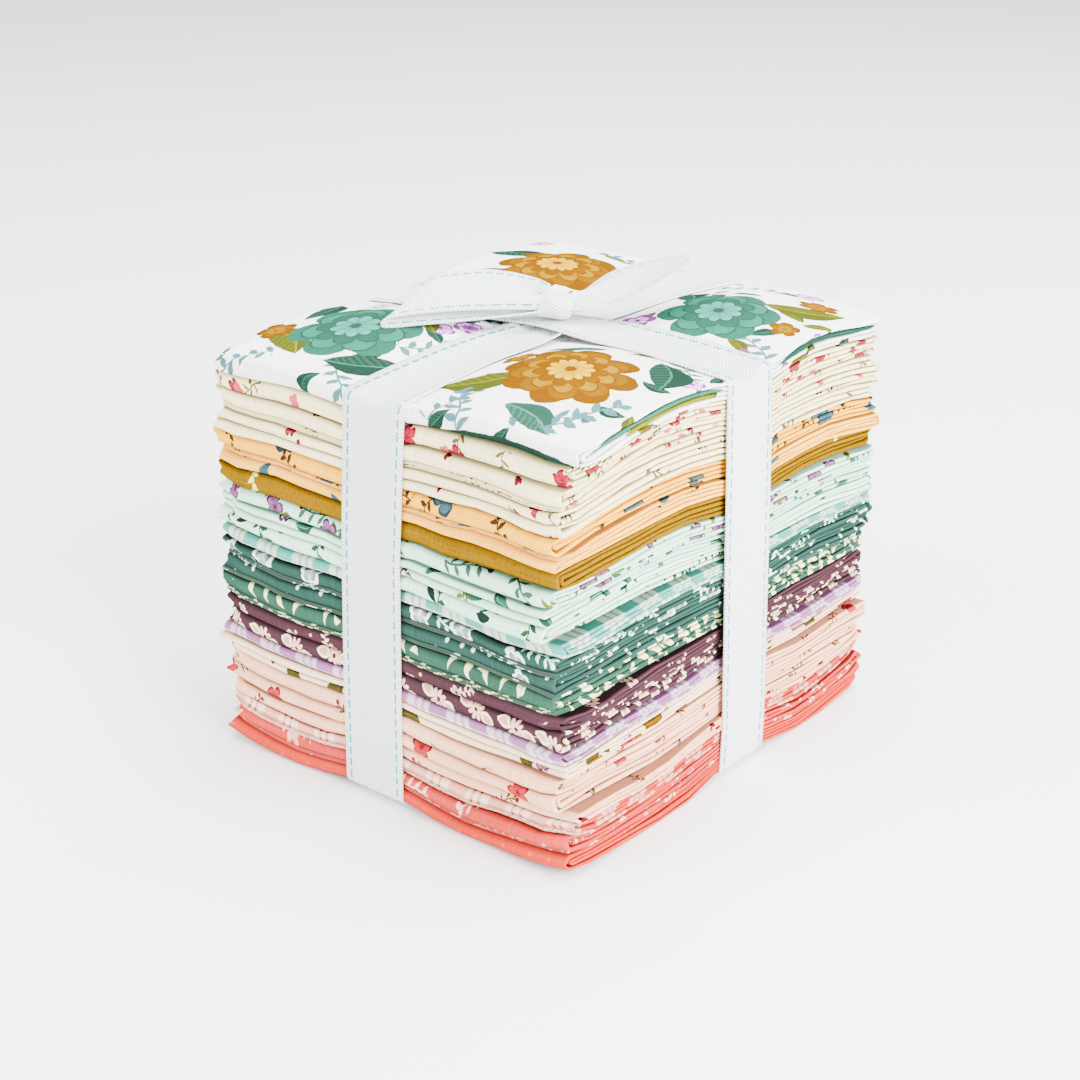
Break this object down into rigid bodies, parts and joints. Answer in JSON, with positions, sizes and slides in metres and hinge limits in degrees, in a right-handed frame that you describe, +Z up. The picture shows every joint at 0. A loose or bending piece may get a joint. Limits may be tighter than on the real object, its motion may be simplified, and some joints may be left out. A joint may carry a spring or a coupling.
{
  "type": "fat quarter bundle",
  "caption": "Stack of folded quilting cottons in prints, plaids and plain colours, tied lengthways and crossways with a stitched twill ribbon in a half bow.",
  "frame": {"origin": "middle of the base of the whole bundle, on the plane of its lowest cloth", "axes": "+Z up; +X along the face where the rounded folds show, which is the -Y face; +Y along the face where the fold ends show, which is the +X face"},
  "size_m": [0.1214, 0.1384, 0.1258],
  "materials": {
    "large_floral": "white printed quilting cotton with a large flower print",
    "cream_posy": "cream printed quilting cotton, matt plain weave",
    "cream_sprig": "cream printed quilting cotton, matt plain weave",
    "cream_bud": "cream printed quilting cotton, matt plain weave",
    "peach_leaf": "peach printed quilting cotton, matt plain weave",
    "peach_branch": "peach printed quilting cotton, matt plain weave",
    "mustard": "mustard printed quilting cotton, matt plain weave",
    "mint_blossom": "pale mint printed quilting cotton, matt plain weave",
    "mint_leaf": "pale mint printed quilting cotton, matt plain weave",
    "mint_stem": "pale mint printed quilting cotton, matt plain weave",
    "aqua_plaid": "aqua and cream plaid quilting cotton, matt plain weave",
    "teal_flower": "teal printed quilting cotton with white flowers",
    "teal_cluster": "teal printed quilting cotton with white flower clusters",
    "green_vine": "green printed quilting cotton with cream leaves",
    "plum_dot": "plum printed quilting cotton with cream dots",
    "plum_medallion": "plum printed quilting cotton with cream medallions",
    "lilac_plaid": "lilac and cream plaid quilting cotton, matt plain weave",
    "blush_floral": "pale printed quilting cotton with coral and olive flowers",
    "pink_plain": "blush printed quilting cotton, matt plain weave",
    "pink_rose": "blush printed quilting cotton, matt plain weave",
    "pink_bud": "blush printed quilting cotton, matt plain weave",
    "coral_plaid": "coral and cream plaid quilting cotton, matt plain weave",
    "coral_sprig": "coral printed quilting cotton with white sprigs",
    "coral_plain": "plain coral quilting cotton, matt plain weave",
    "ribbon": "white cotton twill tape, herringbone weave, with a pale blue running stitch"
  },
  "bodies": {
    "root": {"fq01_large_floral": "large_floral", "fq02_cream_posy": "cream_posy", "fq03_cream_sprig": "cream_sprig", "fq04_cream_bud": "cream_bud", "fq05_peach_leaf": "peach_leaf", "fq06_peach_branch": "peach_branch", "fq07_mustard": "mustard", "fq08_mint_blossom": "mint_blossom", "fq09_mint_leaf": "mint_leaf", "fq10_mint_stem": "mint_stem", "fq11_aqua_plaid": "aqua_plaid", "fq12_teal_flower": "teal_flower", "fq13_teal_cluster": "teal_cluster", "fq14_green_vine": "green_vine", "fq15_plum_dot": "plum_dot", "fq16_plum_medallion": "plum_medallion", "fq17_lilac_plaid": "lilac_plaid", "fq18_blush_floral": "blush_floral", "fq19_pink_plain": "pink_plain", "fq20_pink_rose": "pink_rose", "fq21_pink_bud": "pink_bud", "fq22_coral_plaid": "coral_plaid", "fq23_coral_sprig": "coral_sprig", "fq24_coral_plain": "coral_plain", "ribbon_long_band": "ribbon", "ribbon_cross_band": "ribbon", "ribbon_knot": "ribbon", "ribbon_loop": "ribbon", "ribbon_tail": "ribbon"}
  },
  "joints": []
}
